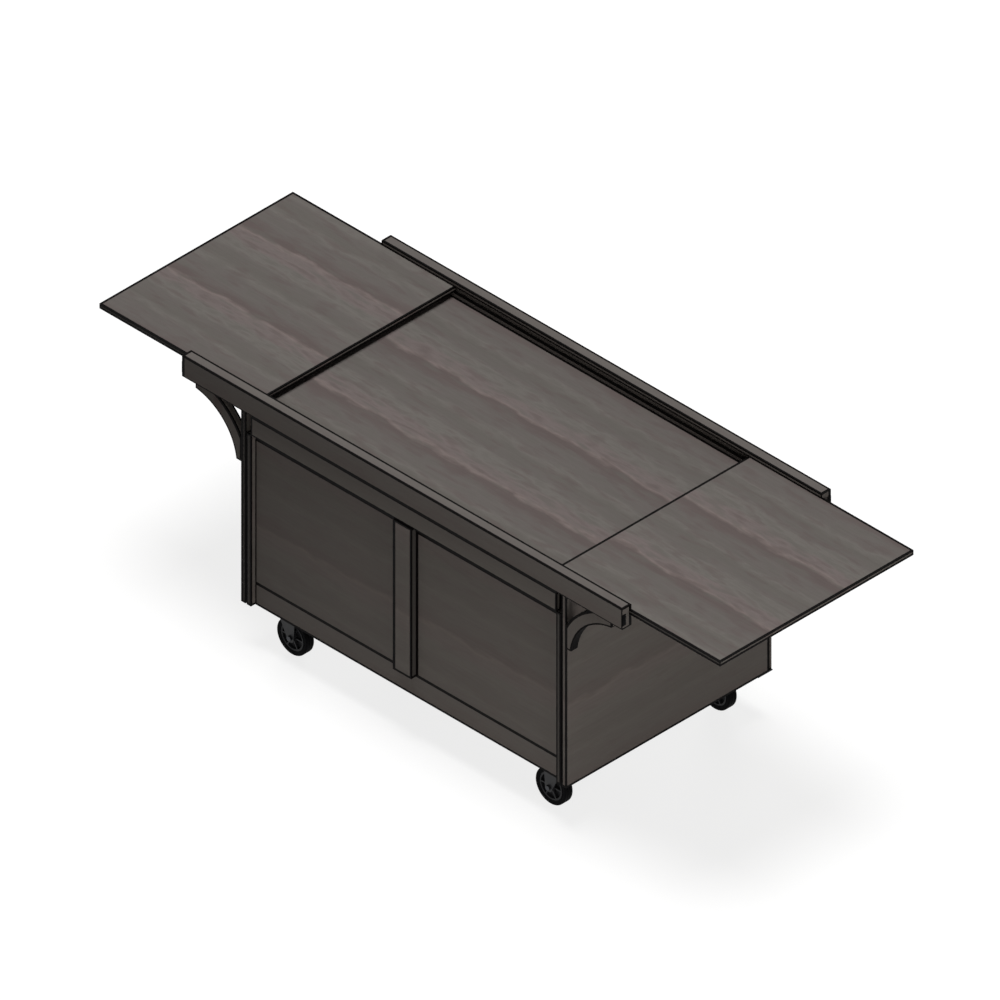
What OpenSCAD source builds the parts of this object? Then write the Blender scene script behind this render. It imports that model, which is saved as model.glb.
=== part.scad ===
// Mobile cooking cart: a laminate cabinet on four swivel casters, two long top rails on arched
// brackets, a sunk deck over two induction units, and two leaves that slide in the rails.
// Millimetres. The origin is on the floor below the middle of the cart, X runs along its length,
// Y towards the side with the doors, Z up. The leaves are drawn pulled out.

/* [Overall] */
// Height of the rail tops above the floor
cart_h = 929; // [860:1:1000]
// Length of the cabinet over its end panels
cabinet_len = 1352; // [1200:1:1600]
// Depth of the cart over its two rails
cart_depth = 870; // [760:1:960]
// Thickness of the cabinet boards
board_t = 18; // [16:1:20]

/* [Rails] */
// Length of a top rail past the end of the cabinet
rail_past = 239; // [200:1:320]
// Width of a top rail
rail_w = 40; // [32:1:50]
// Height of a top rail
rail_h = 76; // [66:1:90]
// Chamfer along the rail edges
rail_ease = 1.5; // [0.5:0.5:3]

/* [Leaves] */
// Length of a closed leaf past the end of the cabinet
leaf_past = 4; // [2:1:12]
// Length of a pulled out leaf that stays over the cabinet
leaf_lap = 65; // [50:1:120]
// Thickness of a sliding leaf
leaf_t = 18; // [16:1:20]
// Depth of the leaf tops below the rail tops
leaf_drop = 17; // [14:1:22]
// Depth of the groove that carries a leaf
groove_depth = 9; // [7:1:12]

/* [Deck] */
// Thickness of the deck between the rails
deck_t = 25; // [22:1:28]
// Thickness of the deck left over an induction coil
deck_skin = 8; // [6:1:12]

/* [Cabinet front] */
// Height of the apron below a rail
apron_h = 76; // [66:1:90]
// Height of the sill board along the bottom
sill_h = 78; // [60:1:100]
// Depth of the recess that holds the front panels
panel_recess = 18; // [14:1:22]
// Width of the stile between the front panels
stile_w = 76; // [50:1:100]
// Thickness of the stile
stile_t = 25; // [20:1:25]
// Shadow gap between an end panel and its gable
shadow_gap = 5; // [3:1:8]
// Distance of the cabinet front behind the rail face
front_inset = 7; // [7:1:12]
// Distance of the door faces behind the rail face
back_inset = 3; // [1:1:8]

/* [Brackets] */
// Thickness of an arched bracket
bracket_t = 28; // [18:1:32]
// Reach of a bracket along the rail and down the end panel
bracket_reach = 189.5; // [170:0.5:200]
// Distance of the arch centre out from the end panel and down from the rail
bracket_centre = 216; // [205:1:225]
// Inner radius of the arch
bracket_r = 198; // [190:1:202]
// Width of the arched band
bracket_band = 44; // [34:1:54]

/* [Doors and shelves] */
// Reveal around a door
door_gap = 3; // [2:0.5:4]
// Diameter of the finger hole that the two doors share
pull_d = 50; // [35:1:70]
// Height of the finger hole above the floor
pull_z = 640; // [500:1:680]
// Height of the shelf tops above the floor
shelf_z = 468; // [430:1:500]
// Distance of a shelf behind the doors
shelf_setback = 30; // [20:1:80]
// Distance of the partition behind the doors, which leaves room for fingers
partition_setback = 32; // [25:1:50]

/* [Induction units] */
// Width of an induction unit along the cart
unit_w = 400; // [340:1:440]
// Depth of an induction unit across the cart
unit_depth = 440; // [360:1:520]
// Height of an induction unit
unit_h = 68; // [50:1:72]
// Diameter of the coil housing under the deck
coil_d = 260; // [200:1:300]
// Diameter of a control knob
knob_d = 40; // [34:1:44]

/* [Casters] */
// Height of a caster over its plate
caster_h = 160; // [158:1:166]
// Diameter of a caster wheel
wheel_d = 125; // [118:1:126]
// Width of a caster tyre
wheel_w = 32; // [28:1:34]
// Distance of the wheel axle behind the swivel axis
trail = 38; // [30:1:40]
// Distance of the swivel axis from the end of the cabinet
caster_inset_x = 100; // [92:1:140]
// Distance of the swivel axis from the front and back of the cabinet
caster_inset_y = 88.6; // [84:0.1:140]
// Length of a caster plate
plate_len = 100; // [94:1:106]
// Width of a caster plate
plate_w = 85; // [78:1:88]
// Thickness of a caster plate
plate_t = 4; // [3:0.5:5]

/* [Hidden] */
$fn = 64;

// Sides of the cart along X and Y
left = -1;
right = 1;
front = -1;
back = 1;

// Overrun of every cut past the face it opens
cut = 1;
// Gap between still pieces that must not touch, and below pieces that slide
gap = 0.3;
// Radial clearance of pins and shafts that turn
fit = 0.05;

// Places of the boards along X, measured from the middle
cabinet_x = cabinet_len / 2;
end_in = cabinet_x - board_t;
gable_out = end_in - shadow_gap;
gable_in = gable_out - board_t;
half_t = board_t / 2;
bay_x = (half_t + gable_in) / 2;
rail_len = cabinet_len + rail_past * 2;
leaf_len = cabinet_x + leaf_past;
leaf_out = cabinet_x - leaf_lap;

// Places of the boards along Y
rail_y = cart_depth / 2;
rail_in = rail_y - rail_w;
front_y = front_inset - rail_y;
back_y = rail_y - back_inset;
door_y = back_y - board_t;
body_back = door_y - gap;
panel_y = front_y + panel_recess;
panel_back = panel_y + board_t;

// Places of the boards along Z
rail_z = cart_h - rail_h;
apron_z = rail_z - apron_h;
sill_z = caster_h + sill_h;
floor_z = caster_h + board_t;
deck_top = rail_z + deck_t;
leaf_top = cart_h - leaf_drop;
leaf_z = leaf_top - leaf_t;

// Rail groove, a little taller than the leaf, with play at its bottom
groove_play = 0.5;
groove_side_play = 1.5;
leaf_half = rail_in + groove_depth - groove_side_play;

// Stop blocks that keep the leaves from coming out of the rails
stop_x = 20;
stop_y = 60;
stop_h = 14;
stop_setback = 20;
stop_side = 120;

// Spacer pads in the shadow gap
pad = 60;
pad_inset = 90;
pad_rows = 3;

// Shelf pins in their rows of holes
pin_d = 5;
pin_len = 14;
pin_in = 6;
pin_pitch = 32;
pin_holes = 5;
pin_inset = 70;
shelf_play = 1;

// Door pivots
pivot_r = 4;
pivot_len = 16;
bush_r = 7;
bush_len = 20;
pivot_plate_t = 2.5;
pivot_plate_len = 60;
pivot_screw_r = 2;
pivot_screw_shares = [0.15, 0.45];
pivot_x = cabinet_x - half_t;
pivot_y = door_y + half_t;
door_z = caster_h + door_gap;
door_top = apron_z - door_gap;

// Induction units
unit_ear = 22;
unit_ear_t = 3;
unit_ear_screw_r = 2.5;
unit_corner = 10;
vent_len = 120;
vent_w = 5;
vent_pitch = 24;
vent_count = 12;
vent_depth = 3;

// Control knobs in their round recesses
knob_z = apron_z + apron_h / 2;
knob_x = bay_x;
knob_room = 9;
recess_d = knob_d + knob_room * 2;
recess_depth = 13;
knob_h = 15;
knob_grip_w = 8;
knob_grip_h = 9;
shaft_r = 4;
shaft_len = 16;
box_w = 52;
box_t = 24;

// Cable gland through the floor
gland_x = 200;
gland_inset = 114;
gland_y = door_y - gland_inset;
gland_r = 10;
gland_nut_r = 17;
gland_nut_h = 8;
gland_dome_r = 13;
gland_dome_h = 16;
gland_bore_r = 6;

// Caster swivel
wheel_r = wheel_d / 2;
plate_corner = 10;
slot_r = 4.2;
slot_run = 8;
slot_inset_x = 14;
slot_inset_y = 13;
slot_x = plate_len / 2 - slot_inset_x;
slot_y = plate_w / 2 - slot_inset_y;
race_r = 28;
race_h = 6;
race_lip = 4;
king_r = 6;
crown_t = 4;
crown_r = 30;
race_z = caster_h - plate_t - race_h;
crown_z = race_z - race_h - crown_t;
screw_r = 3.5;
screw_head_r = 7;
screw_head_h = 4;
screw_len = 14;

// Caster fork and wheel
hub_play = 0.5;
hub_proud = 3;
hub_w = wheel_w + hub_proud * 2;
hub_r = 14;
rim_inset = 2;
rim_w = wheel_w - rim_inset * 2;
rim_t = 6;
web_t = 6;
rib_t = 4;
ribs = 6;
tread_t = 15;
tread_round = 7;
leg_t = 4;
leg_in = hub_w / 2 + hub_play;
leg_out = leg_in + leg_t;
boss_r = 15;
leg_front = 18;
leg_spread = 20;
leg_back = trail + leg_spread;
axle_r = 5;
axle_head_r = 9;
axle_head_h = 6;

// Brake pedal of the casters on the door side
pedal_out = 46;
pedal_pin_r = 3;
pedal_eye_r = 7;
pedal_x = -trail - pedal_out;
pedal_z = crown_z - pedal_eye_r;
pedal_w = 36;
pedal_reach = 44;
pedal_drop = 10;
pedal_t = 4;
pedal_pad_w = 50;
pedal_pad_len = 26;
shoe_len = 21.4;
shoe_t = 6;
shoe_angle = -82;

laminate = "#675f5b";
laminate_dark = "#4f4945";
steel = "#3c3d3f";
rubber = "#1c1c1d";
plastic = "#26272a";
brass = "#9a8a5a";

// A box between two corners
module slab(x0, x1, y0, y1, z0, z1) {
    translate([x0, y0, z0]) cube([x1 - x0, y1 - y0, z1 - z0]);
}

// Children drawn for the right side, or mirrored to the left side
module on_side(side) {
    if (side == left) mirror([1, 0, 0]) children();
    else children();
}

// Children drawn for the back, or mirrored to the front
module on_face(face) {
    if (face == front) mirror([0, 1, 0]) children();
    else children();
}

// Rectangle around the origin with round corners
module round_rect(size_x, size_y, corner) {
    square([size_x - corner * 2, size_y], center = true);
    square([size_x, size_y - corner * 2], center = true);
    for (x = [-1, 1], y = [-1, 1])
        translate([x * (size_x / 2 - corner), y * (size_y / 2 - corner)]) circle(corner);
}

// A slot along X with round ends
module slot(run, radius) {
    square([run, radius * 2], center = true);
    for (x = [-1, 1]) translate([x * run / 2, 0]) circle(radius);
}

// Children that are extruded along X, from an outline in Y and Z
module along_x(start, len) {
    translate([start, 0, 0]) rotate([90, 0, 90]) linear_extrude(len) children();
}

// Children that are extruded along Y, from an outline in X and Z
module along_y(start, len) {
    translate([0, start + len, 0]) rotate([90, 0, 0]) linear_extrude(len) children();
}

// Rails and leaves

module rail_outline() {
    difference() {
        polygon([
            [rail_in + rail_ease, rail_z], [rail_y - rail_ease, rail_z],
            [rail_y, rail_z + rail_ease], [rail_y, cart_h - rail_ease],
            [rail_y - rail_ease, cart_h], [rail_in + rail_ease, cart_h],
            [rail_in, cart_h - rail_ease], [rail_in, rail_z + rail_ease]
        ]);
        translate([rail_in - cut, leaf_z - gap])
            square([groove_depth + cut, leaf_t + gap + groove_play]);
    }
}

module rail(face) {
    color(laminate) on_face(face) along_x(-rail_len / 2, rail_len) rail_outline();
}

module leaf(side) {
    color(laminate) on_side(side)
        slab(leaf_out, leaf_out + leaf_len, -leaf_half, leaf_half, leaf_z, leaf_top);
}

module leaf_stops(side) {
    x0 = leaf_out + stop_setback;
    color(laminate_dark) on_side(side) for (face = [front, back]) on_face(face)
        slab(x0, x0 + stop_x, rail_in - stop_side, rail_in - stop_side + stop_y, leaf_z - stop_h, leaf_z);
}

module deck_stops() {
    x0 = leaf_out + stop_setback + stop_x + gap;
    color(laminate_dark) for (side = [left, right], face = [front, back]) on_side(side) on_face(face)
        slab(x0, x0 + stop_x, rail_in - stop_side, rail_in - stop_side + stop_y, deck_top, deck_top + stop_h);
}

module deck() {
    color(laminate) difference() {
        slab(-cabinet_x, cabinet_x, -rail_in, rail_in, rail_z, deck_top);
        for (side = [left, right]) translate([side * bay_x, 0, rail_z - cut])
            cylinder(r = coil_d / 2 + gap, h = deck_t - deck_skin + cut);
    }
}

// Cabinet

module end_panel(side) {
    color(laminate) on_side(side) slab(end_in, cabinet_x, front_y, body_back, caster_h, rail_z);
}

// Holes for shelf pins in both rows, drawn along X from a face at x, depth long
module pin_rows(x, depth) {
    for (y = [panel_back + pin_inset, body_back - pin_inset], i = [0 : pin_holes - 1])
        translate([x, y, pin_z(i)]) rotate([0, 90, 0]) cylinder(d = pin_d, h = depth);
}

function pin_z(i) = shelf_z - board_t - pin_d / 2 + (i - floor(pin_holes / 2)) * pin_pitch;

module gable(side) {
    color(laminate) on_side(side) difference() {
        slab(gable_in, gable_out, front_y, body_back, caster_h, rail_z);
        slab(gable_in - cut, gable_out + cut, front_y - cut, panel_back, apron_z, rail_z + cut);
        pin_rows(gable_in - cut, pin_in + cut);
    }
}

module end_spacers() {
    span_y = (body_back - front_y - pad_inset * 2 - pad) / (pad_rows - 1);
    span_z = apron_z - caster_h - pad_inset - pad;
    color(laminate_dark) for (side = [left, right], i = [0 : pad_rows - 1], j = [0, 1]) {
        y0 = front_y + pad_inset + i * span_y;
        z0 = caster_h + pad_inset + j * span_z;
        on_side(side) slab(gable_out, end_in, y0, y0 + pad, z0, z0 + pad);
    }
}

module front_apron() {
    color(laminate) slab(-gable_in, gable_in, front_y, panel_y, apron_z, rail_z);
}

module front_panel(side) {
    color(laminate) on_side(side) slab(0, gable_in, panel_y, panel_back, sill_z, rail_z);
}

module front_sill() {
    color(laminate) slab(-gable_in, gable_in, panel_y, panel_back, caster_h, sill_z);
}

module centre_stile() {
    color(laminate) slab(-stile_w / 2, stile_w / 2, panel_y - stile_t, panel_y, sill_z, apron_z);
}

module floor_panel() {
    color(laminate) difference() {
        slab(-gable_in, gable_in, panel_back, body_back, caster_h, floor_z);
        for (side = [left, right], face = [front, back]) at_caster(side, face) plate_holes()
            translate([0, 0, caster_h - cut]) cylinder(r = screw_r, h = screw_len - plate_t + cut);
        translate([-gland_x, gland_y, caster_h - cut]) cylinder(r = gland_r, h = board_t + cut * 2);
    }
}

module partition() {
    color(laminate) difference() {
        slab(-half_t, half_t, panel_back, body_back - partition_setback, floor_z, rail_z);
        pin_rows(half_t - pin_in, pin_in + cut);
        pin_rows(-half_t - cut, pin_in + cut);
    }
}

module shelf(side) {
    color(laminate) on_side(side) slab(half_t + shelf_play, gable_in - shelf_play,
        panel_back + shelf_play, body_back - shelf_setback, shelf_z - board_t, shelf_z);
}

module shelf_pins() {
    middle = floor(pin_holes / 2);
    color(steel) for (side = [left, right], y = [panel_back + pin_inset, body_back - pin_inset],
        x = [half_t - pin_in, gable_in + pin_in - pin_len])
        on_side(side) translate([x, y, pin_z(middle)]) rotate([0, 90, 0])
            cylinder(d = pin_d, h = pin_len);
}

module back_apron() {
    color(laminate) difference() {
        slab(-cabinet_x, cabinet_x, body_back, back_y - gap, apron_z, rail_z);
        for (side = [left, right]) translate([side * knob_x, 0, knob_z]) {
            along_y(back_y - gap - recess_depth, recess_depth + cut) circle(d = recess_d);
            along_y(body_back - cut, board_t + cut * 2) circle(shaft_r + fit);
        }
    }
}

// Doors on pivots

module door(side) {
    round_r = half_t;
    color(laminate) on_side(side) difference() {
        translate([0, 0, door_z]) linear_extrude(door_top - door_z) {
            translate([door_gap / 2, door_y]) square([pivot_x - door_gap / 2, board_t]);
            translate([pivot_x, pivot_y]) circle(round_r);
        }
        translate([0, 0, pull_z]) along_y(door_y - cut, board_t + cut * 2) circle(d = pull_d);
        for (z = [door_z - cut, door_top - bush_len]) translate([pivot_x, pivot_y, z])
            cylinder(r = bush_r, h = bush_len + cut);
    }
}

module door_bushes(side) {
    color(brass) on_side(side) for (z = [door_z, door_top - bush_len])
        translate([pivot_x, pivot_y, z]) difference() {
            cylinder(r = bush_r, h = bush_len);
            translate([0, 0, -cut]) cylinder(r = pivot_r + fit, h = bush_len + cut * 2);
        }
}

module pivot_brackets() {
    plate_y = back_y - pivot_plate_len;
    color(steel) for (side = [left, right]) on_side(side) {
        // Lower plate under the end panel, with a thrust washer and a pin up into the door
        difference() {
            slab(end_in, cabinet_x, plate_y, back_y, caster_h - pivot_plate_t, caster_h);
            for (share = pivot_screw_shares)
                translate([pivot_x, plate_y + share * pivot_plate_len, caster_h - pivot_plate_t - cut])
                    cylinder(r = pivot_screw_r, h = pivot_plate_t + cut * 2);
        }
        translate([pivot_x, pivot_y, caster_h]) {
            cylinder(r = bush_r, h = door_gap - gap);
            cylinder(r = pivot_r, h = door_gap + pivot_len);
        }
        // Upper plate under the apron, with a pin down into the door
        slab(pivot_x - pivot_plate_len, pivot_x + half_t, pivot_y - bush_r, pivot_y + bush_r,
            apron_z - pivot_plate_t, apron_z);
        translate([pivot_x, pivot_y, door_top - pivot_len])
            cylinder(r = pivot_r, h = door_gap + pivot_len - pivot_plate_t);
    }
}

// Arched brackets under the rails

module arch_outline() {
    intersection() {
        translate([cabinet_x + bracket_centre, rail_z - bracket_centre]) difference() {
            circle(bracket_r + bracket_band, $fn = 128);
            circle(bracket_r, $fn = 128);
        }
        translate([cabinet_x, rail_z - bracket_reach]) square(bracket_reach);
    }
}

module bracket(side, face) {
    start = face == front ? front_y : body_back - bracket_t;
    color(laminate) on_side(side) along_y(start, bracket_t) arch_outline();
}

// Induction units and their controls

module induction_unit(side) {
    color(plastic) translate([side * bay_x, 0, 0]) {
        difference() {
            translate([0, 0, rail_z - unit_h]) linear_extrude(unit_h)
                round_rect(unit_w, unit_depth, unit_corner);
            for (face = [front, back], i = [0 : vent_count - 1])
                translate([(i - (vent_count - 1) / 2) * vent_pitch, face * unit_depth / 4, rail_z - unit_h - cut])
                    linear_extrude(vent_depth + cut) rotate(90) slot(vent_len, vent_w / 2);
        }
        difference() {
            translate([0, 0, rail_z - unit_ear_t]) linear_extrude(unit_ear_t)
                round_rect(unit_w + unit_ear * 2, unit_depth / 2, unit_corner);
            for (x = [-1, 1], y = [-1, 1])
                translate([x * (unit_w + unit_ear) / 2, y * unit_depth / 6, rail_z - unit_ear_t - cut])
                    cylinder(r = unit_ear_screw_r, h = unit_ear_t + cut * 2);
        }
        translate([0, 0, rail_z - unit_ear_t])
            cylinder(r = coil_d / 2, h = unit_ear_t + deck_t - deck_skin - gap);
    }
}

module control_boxes() {
    color(plastic) for (side = [left, right]) translate([side * knob_x, 0, knob_z]) difference() {
        along_y(body_back - box_t, box_t) round_rect(box_w, box_w, unit_corner);
        along_y(body_back - shaft_len, shaft_len + cut) circle(shaft_r + fit);
    }
}

module knob(side) {
    knob_y = back_y - recess_depth;
    color(plastic) translate([side * knob_x, 0, knob_z]) {
        difference() {
            along_y(knob_y, knob_h) circle(d = knob_d);
            for (x = [-1, 1]) translate([x * (knob_grip_w + knob_d) / 2, 0, 0])
                along_y(knob_y + knob_h - knob_grip_h, knob_grip_h + cut)
                    square([knob_d, knob_d * 2], center = true);
        }
        along_y(body_back - shaft_len + gap, knob_y - body_back + shaft_len) circle(shaft_r);
    }
}

module cable_gland() {
    color(plastic) translate([-gland_x, gland_y, 0]) difference() {
        union() {
            translate([0, 0, caster_h - gland_nut_h]) cylinder(r = gland_nut_r, h = gland_nut_h, $fn = 6);
            translate([0, 0, caster_h - gland_nut_h - gland_dome_h])
                cylinder(r = gland_dome_r, h = gland_dome_h);
            translate([0, 0, caster_h - gland_nut_h]) cylinder(r = gland_r, h = board_t + gland_nut_h * 2);
            translate([0, 0, floor_z]) cylinder(r = gland_nut_r, h = gland_nut_h, $fn = 6);
        }
        translate([0, 0, caster_h - gland_nut_h - gland_dome_h - cut])
            cylinder(r = gland_bore_r, h = board_t + gland_dome_h + gland_nut_h * 2 + cut * 2);
    }
}

// Casters: each is drawn round its swivel axis, with its wheel trailing to -X

module at_caster(side, face) {
    y = face == front ? front_y + caster_inset_y : back_y - caster_inset_y;
    on_side(side) translate([cabinet_x - caster_inset_x, y, 0]) children();
}

module plate_holes() {
    for (x = [-1, 1], y = [-1, 1]) translate([x * slot_x, y * slot_y, 0]) children();
}

module caster_plates() {
    color(steel) for (side = [left, right], face = [front, back]) at_caster(side, face) difference() {
        union() {
            translate([0, 0, caster_h - plate_t]) linear_extrude(plate_t) difference() {
                round_rect(plate_len, plate_w, plate_corner);
                plate_holes() slot(slot_run, slot_r);
            }
            translate([0, 0, race_z]) cylinder(r1 = race_r - race_lip, r2 = race_r, h = race_h);
        }
        translate([0, 0, race_z - cut]) cylinder(r = king_r + fit, h = race_h + plate_t + cut * 2);
    }
}

module caster_screws() {
    color(steel) for (side = [left, right], face = [front, back]) at_caster(side, face) plate_holes() {
        translate([0, 0, caster_h - plate_t - screw_head_h]) cylinder(r = screw_head_r, h = screw_head_h, $fn = 6);
        translate([0, 0, caster_h - plate_t]) cylinder(r = screw_r, h = screw_len);
    }
}

// Outline of a fork leg in X and Z
module leg_outline(face) {
    difference() {
        union() {
            polygon([
                [leg_front, crown_z + crown_t], [-leg_back, crown_z + crown_t],
                [-trail - boss_r, wheel_r], [-trail + boss_r, wheel_r]
            ]);
            translate([-trail, wheel_r]) circle(boss_r);
            if (face == back) {
                translate([pedal_x, pedal_z]) circle(pedal_eye_r);
                polygon([
                    [-leg_back, crown_z + crown_t], [pedal_x, pedal_z + pedal_eye_r],
                    [pedal_x, pedal_z - pedal_eye_r], [-leg_back, pedal_z - pedal_eye_r * 2]
                ]);
            }
        }
        translate([-trail, wheel_r]) circle(axle_r);
        if (face == back) translate([pedal_x, pedal_z]) circle(pedal_pin_r + fit);
    }
}

module fork(side, face) {
    color(steel) at_caster(side, face) {
        for (y = [-leg_out, leg_in]) along_y(y, leg_t) leg_outline(face);
        translate([0, 0, crown_z]) linear_extrude(crown_t) {
            circle(crown_r);
            translate([-leg_back, -leg_out]) square([leg_back + leg_front, leg_out * 2]);
        }
        translate([0, 0, crown_z + crown_t]) cylinder(r1 = race_r, r2 = race_r - race_lip, h = race_h - gap);
        translate([0, 0, crown_z + crown_t]) cylinder(r = king_r, h = race_h * 2 + plate_t - gap);
    }
}

module axle(side, face) {
    color(steel) at_caster(side, face) translate([-trail, 0, wheel_r]) rotate([90, 0, 0]) {
        cylinder(r = axle_r, h = (leg_out + axle_head_h) * 2, center = true);
        for (y = [-leg_out - axle_head_h, leg_out]) translate([0, 0, y])
            cylinder(r = axle_head_r, h = axle_head_h, $fn = 6);
    }
}

module core(side, face) {
    rim_out = wheel_r - tread_t;
    color(plastic) at_caster(side, face) translate([-trail, 0, wheel_r]) rotate([90, 0, 0]) {
        difference() {
            union() {
                cylinder(r = hub_r, h = hub_w, center = true);
                cylinder(r = rim_out - rim_t / 2, h = web_t, center = true);
                for (i = [0 : ribs - 1]) rotate(i * 360 / ribs) translate([0, -rib_t / 2, -rim_w / 2])
                    cube([rim_out - rim_t / 2, rib_t, rim_w]);
            }
            cylinder(r = axle_r + fit, h = hub_w + cut * 2, center = true);
        }
        difference() {
            cylinder(r = rim_out, h = rim_w, center = true);
            cylinder(r = rim_out - rim_t, h = rim_w + cut * 2, center = true);
        }
    }
}

module tyre(side, face) {
    rim_out = wheel_r - tread_t;
    color(rubber) at_caster(side, face) translate([-trail, 0, wheel_r]) rotate([90, 0, 0])
        rotate_extrude() {
            translate([rim_out, -wheel_w / 2]) square([tread_t - tread_round, wheel_w]);
            translate([rim_out, tread_round - wheel_w / 2]) square([tread_t, wheel_w - tread_round * 2]);
            for (y = [-1, 1]) translate([wheel_r - tread_round, y * (wheel_w / 2 - tread_round)])
                circle(tread_round);
        }
}

module pedal(side) {
    color(steel) at_caster(side, back) translate([pedal_x, 0, pedal_z]) {
        along_y(-pedal_w / 2, pedal_w) {
            circle(pedal_eye_r);
            polygon([
                [0, pedal_eye_r], [-pedal_reach, pedal_eye_r - pedal_drop],
                [-pedal_reach, pedal_eye_r - pedal_drop - pedal_t], [0, pedal_eye_r - pedal_t * 2]
            ]);
            rotate(shoe_angle) translate([0, -shoe_t / 2]) square([shoe_len, shoe_t]);
        }
        translate([-pedal_reach - pedal_pad_len / 2, 0, pedal_eye_r - pedal_drop - pedal_t])
            linear_extrude(pedal_t) round_rect(pedal_pad_len, pedal_pad_w, pedal_t);
        rotate([90, 0, 0]) cylinder(r = pedal_pin_r, h = leg_out * 2, center = true);
    }
}

rail(front);  // front_rail
rail(back);  // back_rail
deck();
deck_stops();
leaf(left);  // left_leaf
leaf(right);  // right_leaf
leaf_stops(left);  // left_leaf_stops
leaf_stops(right);  // right_leaf_stops
end_panel(left);  // left_end_panel
end_panel(right);  // right_end_panel
gable(left);  // left_gable
gable(right);  // right_gable
end_spacers();
front_apron();
front_panel(left);  // left_front_panel
front_panel(right);  // right_front_panel
front_sill();
centre_stile();
floor_panel();
partition();
shelf(left);  // left_shelf
shelf(right);  // right_shelf
shelf_pins();
back_apron();
door(left);  // left_door
door(right);  // right_door
door_bushes(left);  // left_door_bushes
door_bushes(right);  // right_door_bushes
pivot_brackets();
bracket(left, front);  // front_left_bracket
bracket(right, front);  // front_right_bracket
bracket(left, back);  // back_left_bracket
bracket(right, back);  // back_right_bracket
induction_unit(left);  // left_induction_unit
induction_unit(right);  // right_induction_unit
control_boxes();
knob(left);  // left_knob
knob(right);  // right_knob
cable_gland();
caster_plates();
caster_screws();
fork(left, front);  // front_left_fork
fork(right, front);  // front_right_fork
fork(left, back);  // back_left_fork
fork(right, back);  // back_right_fork
axle(left, front);  // front_left_axle
axle(right, front);  // front_right_axle
axle(left, back);  // back_left_axle
axle(right, back);  // back_right_axle
core(left, front);  // front_left_core
core(right, front);  // front_right_core
core(left, back);  // back_left_core
core(right, back);  // back_right_core
tyre(left, front);  // front_left_tyre
tyre(right, front);  // front_right_tyre
tyre(left, back);  // back_left_tyre
tyre(right, back);  // back_right_tyre
pedal(left);  // back_left_pedal
pedal(right);  // back_right_pedal
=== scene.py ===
"""Finishes, small fittings and a studio stage for a mobile cooking cart.

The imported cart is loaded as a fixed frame. Its boards, metals and plastics get their finishes, and
the treads, bumpers, dials, screw heads and seal that are too fine for the solids are modelled here.
"""

import math

import bmesh
import bpy
from bpy.props import FloatProperty, FloatVectorProperty, IntProperty, PointerProperty
from bpy.types import Operator, Panel, PropertyGroup
from mathutils import Matrix, Vector


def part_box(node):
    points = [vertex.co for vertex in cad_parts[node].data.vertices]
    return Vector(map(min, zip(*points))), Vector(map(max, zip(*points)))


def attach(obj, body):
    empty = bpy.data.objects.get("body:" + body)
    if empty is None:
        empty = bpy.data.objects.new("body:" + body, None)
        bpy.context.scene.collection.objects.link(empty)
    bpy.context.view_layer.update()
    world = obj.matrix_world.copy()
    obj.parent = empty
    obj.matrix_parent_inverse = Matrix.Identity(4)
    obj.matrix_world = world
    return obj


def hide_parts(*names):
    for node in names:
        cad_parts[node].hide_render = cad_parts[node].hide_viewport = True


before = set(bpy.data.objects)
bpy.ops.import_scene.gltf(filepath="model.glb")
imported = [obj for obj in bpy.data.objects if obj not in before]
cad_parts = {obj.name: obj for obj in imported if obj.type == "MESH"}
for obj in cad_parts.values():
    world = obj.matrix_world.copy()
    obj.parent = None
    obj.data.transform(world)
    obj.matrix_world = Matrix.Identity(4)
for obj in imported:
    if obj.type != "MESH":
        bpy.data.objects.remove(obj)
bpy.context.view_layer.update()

bl_info = {
    "name": "Cooking Cart Finishes",
    "version": (1, 0, 0),
    "blender": (4, 5, 0),
    "location": "3D Viewport > Sidebar > Cart",
    "description": "Laminate, caster and control finishes and a studio stage for a cooking cart",
    "category": "Object",
}

MM = 0.001
X, Y, Z = 0, 1, 2

# The laminated boards. Each has the axis that its grain follows, the axis that its bands cross, the
# outer face that the bands are set out from, the place of a vein on that face in millimetres, and the
# side of the vein that the bands fade towards.
BOARDS = {
    "left_leaf": (X, Y, 1, -130, -1),
    "right_leaf": (X, Y, 1, -175, 1),
    "deck": (X, Y, 1, -190, 1),
    "front_rail": (X, Z, -1, 1145, -1),
    "back_rail": (X, Z, -1, 1145, -1),
    "front_apron": (X, Z, -1, 950, -1),
    "left_front_panel": (X, Z, -1, 455, -1),
    "right_front_panel": (X, Z, -1, 455, -1),
    "front_sill": (X, Z, -1, 441, -1),
    "centre_stile": (X, Z, -1, 455, -1),
    "left_end_panel": (Y, Z, -1, 452, -1),
    "right_end_panel": (Y, Z, 1, 452, -1),
    "left_gable": (Y, Z, -1, 500, -1),
    "right_gable": (Y, Z, 1, 500, -1),
    "back_apron": (X, Z, 1, 870, -1),
    "left_door": (X, Z, 1, 455, -1),
    "right_door": (X, Z, 1, 455, -1),
    "floor_panel": (X, Y, 1, -60, 1),
    "partition": (Y, Z, 1, 380, 1),
    "left_shelf": (X, Y, 1, 40, 1),
    "right_shelf": (X, Y, 1, -90, -1),
}

# Boards with another board under their lower front edge, and the boards of the top
ABUTTING = ("front_rail", "back_rail", "front_apron", "left_front_panel", "right_front_panel")
TOP_BOARDS = ("front_rail", "back_rail", "deck", "left_leaf", "right_leaf")

# Nodes that hold several small blocks, which have no printed bands to line up
BLOCKS = ("deck_stops", "left_leaf_stops", "right_leaf_stops", "end_spacers")
BRACKETS = ("front_left_bracket", "front_right_bracket", "back_left_bracket", "back_right_bracket")
CORNERS = ("front_left", "front_right", "back_left", "back_right")
SIDES = ("left", "right")

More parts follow.
